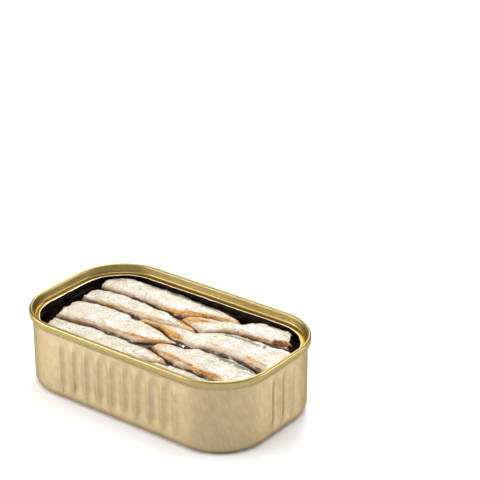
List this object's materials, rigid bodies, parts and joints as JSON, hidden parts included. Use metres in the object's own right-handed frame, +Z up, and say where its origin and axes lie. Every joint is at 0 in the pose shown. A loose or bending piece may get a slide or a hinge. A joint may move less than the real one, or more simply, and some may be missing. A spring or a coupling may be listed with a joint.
{
  "type": "open sardine tin",
  "caption": "Opened rounded oblong tin with ribbed gold walls and a seamed rim, filled with sardines laid head to tail in oil.",
  "frame": {"origin": "middle of the underside, at the height of the surface the tin stands on", "axes": "+X along the tin's length, +Y across it towards the back wall in the picture, +Z up"},
  "size_m": [0.105, 0.0616, 0.03],
  "materials": {
    "gold_lacquer": "thin gold lacquer over drawn metal, finely brushed, satin",
    "gold_rim": "gold lacquer over the folded seam and the torn lid's ledge, semi-gloss",
    "sardine_skin": "cooked fish skin and flesh, silvery cream with tan patches, oily",
    "oil": "clear oil that looks nearly black in the deep gaps, mirror smooth"
  },
  "bodies": {
    "root": {"can_body": "gold_lacquer", "rim": "gold_rim", "sardine_left_1": "sardine_skin", "sardine_right_1": "sardine_skin", "sardine_left_2": "sardine_skin", "sardine_right_2": "sardine_skin", "sardine_left_3": "sardine_skin", "sardine_right_3": "sardine_skin", "sardine_left_4": "sardine_skin", "sardine_right_4": "sardine_skin", "oil": "oil"}
  },
  "joints": []
}
